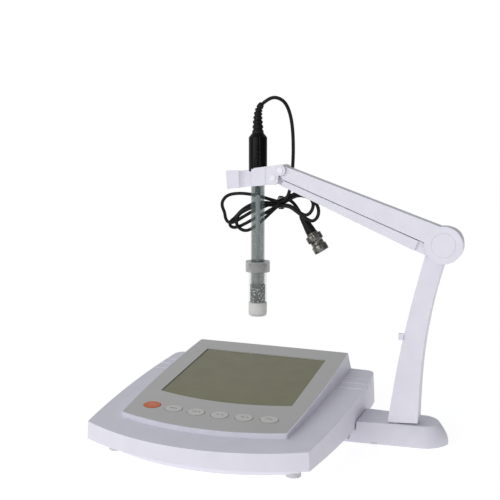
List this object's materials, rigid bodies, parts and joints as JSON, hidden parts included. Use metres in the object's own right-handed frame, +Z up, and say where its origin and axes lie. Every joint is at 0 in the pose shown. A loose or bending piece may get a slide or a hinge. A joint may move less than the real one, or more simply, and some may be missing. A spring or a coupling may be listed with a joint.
{
  "type": "bench ph meter",
  "caption": "Bench pH meter with sloping display, oval keys and a parallel-link arm holding a glass electrode in its storage vial, with a tied cable.",
  "frame": {"origin": "centre of the footprint of the whole object, on the bench surface", "axes": "+X to the user's right, towards the stand; +Y away from the user; +Z up"},
  "size_m": [0.2955, 0.2222, 0.2932],
  "materials": {
    "housing_plastic": "satin pale lavender-white ABS",
    "panel_silver": "satin silver-grey printed overlay",
    "window_clear": "clear lens over an olive display",
    "lcd_olive": "unlit reflective LCD",
    "white_inner": "matte white",
    "board_green": "glass-fibre circuit board",
    "chip_black": "matte",
    "key_orange": "satin",
    "key_white": "satin",
    "rubber_grey": "matte",
    "screw_steel": "zinc plated",
    "nickel": "nickel plated",
    "socket_black": "satin",
    "cable_black": "soft PVC",
    "cap_black": "gloss",
    "tube_clear": "smoky clear polycarbonate body",
    "glass_clear": "thin glass",
    "element_dark": "dark reference element",
    "vial_clear": "clear vial",
    "vial_grey": "translucent grey cap",
    "liquid_dark": "dark storage solution with crystals"
  },
  "bodies": {
    "base": {"upper_housing": "housing_plastic", "lower_housing": "housing_plastic", "rubber_feet": "rubber_grey", "housing_screws": "screw_steel", "display_panel": "panel_silver", "lcd_window": "window_clear", "lcd_glass": "lcd_olive", "lcd_backlight": "white_inner", "main_board": "board_green", "board_screws": "screw_steel", "board_components": "chip_black", "key_switches": "chip_black", "rear_plate": "socket_black", "measuring_socket": "nickel", "socket_nut": "nickel", "temperature_socket": "socket_black", "power_socket": "socket_black", "stand_base": "housing_plastic", "base_pads": "rubber_grey", "link_plate": "screw_steel", "plate_screws": "screw_steel", "base_weight": "screw_steel", "swivel_washer": "white_inner"},
    "power_key": {"key_power": "key_orange"},
    "key_one": {"key_1": "key_white"},
    "key_two": {"key_2": "key_white"},
    "key_three": {"key_3": "key_white"},
    "key_four": {"key_4": "key_white"},
    "key_five": {"key_5": "key_white"},
    "column_group": {"column": "housing_plastic", "swivel_shaft": "screw_steel", "shaft_collar": "screw_steel", "cable_clip": "housing_plastic", "pivot_bolt": "screw_steel", "pivot_nut": "screw_steel", "friction_washer": "rubber_grey", "link_pin": "screw_steel"},
    "arm_group": {"upper_arm": "housing_plastic", "hub_cap": "housing_plastic"},
    "link_group": {"lower_link": "housing_plastic"},
    "head_group": {"clamp_head": "housing_plastic", "upper_head_pin": "key_white", "lower_head_pin": "key_white"},
    "electrode_group": {"electrode_cap": "cap_black", "electrode_tube": "tube_clear", "inner_tube": "glass_clear", "inner_element": "element_dark", "tube_seal": "glass_clear", "sensor_bulb": "glass_clear", "strain_relief": "cable_black", "cable_lead": "cable_black", "cable_hank": "cable_black", "cable_tie": "cable_black", "cable_tail": "cable_black", "plug_boot": "cable_black", "plug_body": "nickel"},
    "ring_group": {"plug_ring": "nickel"},
    "vial_group": {"storage_vial": "vial_clear", "vial_liquid": "liquid_dark", "vial_cap": "vial_grey"}
  },
  "joints": [
    {"name": "column_swivel", "type": "hinge", "parent": "base", "child": "column_group", "pos_m": [0.10155, 0.0289, 0.0178], "axis": [0, 0, 1], "range_deg": [-30, 30]},
    {"name": "arm_pivot", "type": "hinge", "parent": "column_group", "child": "arm_group", "pos_m": [0.13265, 0.0149, 0.1731], "axis": [0, 1, 0], "range_deg": [-8, 25]},
    {"name": "link_pivot", "type": "hinge", "parent": "column_group", "child": "link_group", "pos_m": [0.12615, 0.0149, 0.1665], "axis": [0, 1, 0], "range_deg": [-8, 25]},
    {"name": "head_pivot", "type": "hinge", "parent": "arm_group", "child": "head_group", "pos_m": [-0.00365, 0.0149, 0.2311], "axis": [0, 1, 0], "range_deg": [-25, 8]},
    {"name": "electrode_slide", "type": "slide", "parent": "head_group", "child": "electrode_group", "axis": [0, 0, 1], "range_m": [0, 0.05]},
    {"name": "vial_slide", "type": "slide", "parent": "electrode_group", "child": "vial_group", "axis": [0, 0, -1], "range_m": [0, 0.018]},
    {"name": "plug_ring_turn", "type": "hinge", "parent": "electrode_group", "child": "ring_group", "pos_m": [0.01916, 0.0439, 0.1653], "axis": [0.5269, 0, -0.8499], "range_deg": [0, 90]},
    {"name": "power_key_press", "type": "slide", "parent": "base", "child": "power_key", "axis": [0, 0.131, -0.9914], "range_m": [0, 0.0004], "stiffness_N_per_m": 2500, "springref_m": -0.0001},
    {"name": "key_one_press", "type": "slide", "parent": "base", "child": "key_one", "axis": [0, 0.131, -0.9914], "range_m": [0, 0.0004], "stiffness_N_per_m": 2500, "springref_m": -0.0001},
    {"name": "key_two_press", "type": "slide", "parent": "base", "child": "key_two", "axis": [0, 0.131, -0.9914], "range_m": [0, 0.0004], "stiffness_N_per_m": 2500, "springref_m": -0.0001},
    {"name": "key_three_press", "type": "slide", "parent": "base", "child": "key_three", "axis": [0, 0.131, -0.9914], "range_m": [0, 0.0004], "stiffness_N_per_m": 2500, "springref_m": -0.0001},
    {"name": "key_four_press", "type": "slide", "parent": "base", "child": "key_four", "axis": [0, 0.131, -0.9914], "range_m": [0, 0.0004], "stiffness_N_per_m": 2500, "springref_m": -0.0001},
    {"name": "key_five_press", "type": "slide", "parent": "base", "child": "key_five", "axis": [0, 0.131, -0.9914], "range_m": [0, 0.0004], "stiffness_N_per_m": 2500, "springref_m": -0.0001}
  ],
  "couplings": [
    {"joint": "link_pivot", "follows": "arm_pivot", "ratio": 1},
    {"joint": "head_pivot", "follows": "arm_pivot", "ratio": -1}
  ]
}
